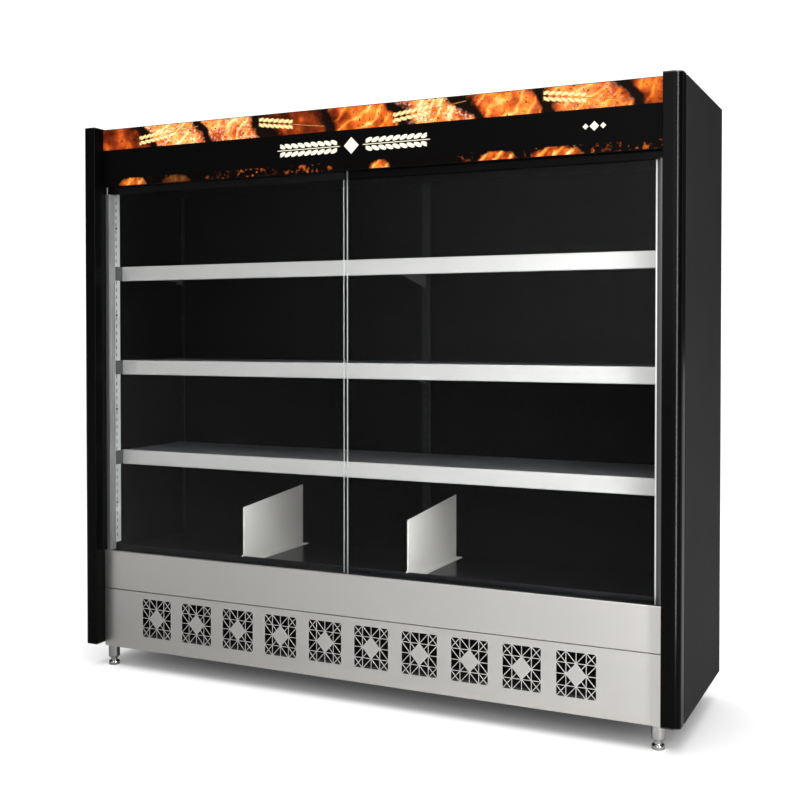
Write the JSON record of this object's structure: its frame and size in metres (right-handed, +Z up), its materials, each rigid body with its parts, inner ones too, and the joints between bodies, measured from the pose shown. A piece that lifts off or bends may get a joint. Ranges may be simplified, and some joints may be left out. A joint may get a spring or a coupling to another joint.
{
  "type": "bread display case",
  "caption": "Free-standing bread display case with sliding glass doors, adjustable shelves, bin deck, lit header and ventilated steel front.",
  "frame": {"origin": "on the floor, under the middle of the case", "axes": "+X along the case to the customer's right, +Y from the customer's side to the back, +Z up"},
  "size_m": [2.02, 0.6, 1.835],
  "materials": {
    "black_satin": "satin black powder coat",
    "charcoal_paint": "matt charcoal powder coat",
    "black_plastic": "moulded matt",
    "header_paint": "gloss black",
    "header_print": "gloss printed film",
    "liner_paint": "satin dark grey paint",
    "stainless": "horizontal brushed grain",
    "shelf_steel": "fine brushed, bright folded edges",
    "shelf_paint": "satin dark grey paint",
    "bracket_steel": "darkened zinc",
    "standard_steel": "zinc plated",
    "black_steel": "satin black paint",
    "deck_gloss": "gloss black enamel",
    "divider_grey": "light grey satin paint",
    "aluminium_bright": "bright anodised",
    "aluminium_black": "black anodised",
    "polished_steel": "polished",
    "frame_steel": "grey primer",
    "galvanised": "galvanised",
    "door_glass": "clear toughened, polished edges",
    "rubber_black": "matt",
    "roller_nylon": "turned nylon",
    "opal": "opal diffuser",
    "led_green": "white coated board",
    "white_housing": "moulded white",
    "cable_black": "sheathed lead",
    "screw_zinc": "zinc plated"
  },
  "bodies": {
    "root": {"base_rails": "frame_steel", "frame_uprights": "frame_steel", "frame_crossbars": "frame_steel", "legs": "polished_steel", "levelling_feet": "polished_steel", "left_side_panel": "charcoal_paint", "right_side_panel": "charcoal_paint", "left_side_liner": "liner_paint", "right_side_liner": "liner_paint", "left_post": "black_satin", "right_post": "black_satin", "post_end_caps": "black_plastic", "back_panel_left": "galvanised", "back_panel_right": "galvanised", "back_liner": "liner_paint", "roof_panel": "charcoal_paint", "header_fascia": "header_paint", "header_graphic": "header_print", "header_ceiling": "liner_paint", "door_top_track": "black_satin", "door_bottom_track": "aluminium_black", "door_bumpers": "rubber_black", "left_jamb": "aluminium_bright", "right_jamb": "aluminium_bright", "left_front_standard": "standard_steel", "right_front_standard": "standard_steel", "rear_standards": "black_steel", "front_upper_panel": "stainless", "front_grille_panel": "stainless", "base_pan": "galvanised", "bin_deck": "deck_gloss", "shelf_lower": "shelf_paint", "shelf_middle": "shelf_paint", "shelf_top": "shelf_paint", "shelf_lip_covers": "shelf_steel", "right_shelf_brackets": "bracket_steel", "left_shelf_brackets": "bracket_steel", "centre_shelf_brackets": "bracket_steel", "shelf_stiffeners": "shelf_paint", "light_housing": "white_housing", "led_board": "led_green", "light_diffuser": "opal", "light_end_caps": "white_housing", "led_driver": "white_housing", "switch_body": "black_plastic", "power_inlet": "black_plastic", "header_wiring": "cable_black", "panel_screws": "screw_zinc", "frame_screws": "screw_zinc"},
    "left_door": {"left_door_glass": "door_glass", "left_door_shoe": "aluminium_black"},
    "right_door": {"right_door_glass": "door_glass", "right_door_shoe": "aluminium_black"},
    "left_door_front_wheel": {"left_door_roller_a": "roller_nylon"},
    "left_door_rear_wheel": {"left_door_roller_b": "roller_nylon"},
    "right_door_front_wheel": {"right_door_roller_a": "roller_nylon"},
    "right_door_rear_wheel": {"right_door_roller_b": "roller_nylon"},
    "light_switch": {"switch_rocker": "black_plastic"},
    "left_divider": {"divider_left": "divider_grey"},
    "right_divider": {"divider_right": "divider_grey"}
  },
  "joints": [
    {"name": "left_door_slide", "type": "slide", "parent": "root", "child": "left_door", "axis": [1, 0, 0], "range_m": [0, 0.97]},
    {"name": "right_door_slide", "type": "slide", "parent": "root", "child": "right_door", "axis": [1, 0, 0], "range_m": [-0.9, 0]},
    {"name": "left_door_front_wheel_turn", "type": "hinge", "parent": "left_door", "child": "left_door_front_wheel", "pos_m": [-0.843, -0.24, 0.3653], "axis": [0, 1, 0], "range_deg": [0, 6176.2]},
    {"name": "left_door_rear_wheel_turn", "type": "hinge", "parent": "left_door", "child": "left_door_rear_wheel", "pos_m": [-0.132, -0.24, 0.3653], "axis": [0, 1, 0], "range_deg": [0, 6176.2]},
    {"name": "right_door_front_wheel_turn", "type": "hinge", "parent": "right_door", "child": "right_door_front_wheel", "pos_m": [0.066, -0.22, 0.3653], "axis": [0, 1, 0], "range_deg": [-5730.6, 0]},
    {"name": "right_door_rear_wheel_turn", "type": "hinge", "parent": "right_door", "child": "right_door_rear_wheel", "pos_m": [0.843, -0.22, 0.3653], "axis": [0, 1, 0], "range_deg": [-5730.6, 0]},
    {"name": "light_switch_press", "type": "hinge", "parent": "root", "child": "light_switch", "pos_m": [0.88, -0.15, 1.654], "axis": [0, 1, 0], "range_deg": [0, 20]},
    {"name": "left_divider_slide", "type": "slide", "parent": "root", "child": "left_divider", "axis": [1, 0, 0], "range_m": [-0.4, 0.25]},
    {"name": "right_divider_slide", "type": "slide", "parent": "root", "child": "right_divider", "axis": [1, 0, 0], "range_m": [-0.25, 0.6]}
  ],
  "couplings": [
    {"joint": "left_door_front_wheel_turn", "follows": "left_door_slide", "rad_per_m": 111.11},
    {"joint": "left_door_rear_wheel_turn", "follows": "left_door_slide", "rad_per_m": 111.11},
    {"joint": "right_door_front_wheel_turn", "follows": "right_door_slide", "rad_per_m": 111.11},
    {"joint": "right_door_rear_wheel_turn", "follows": "right_door_slide", "rad_per_m": 111.11}
  ]
}
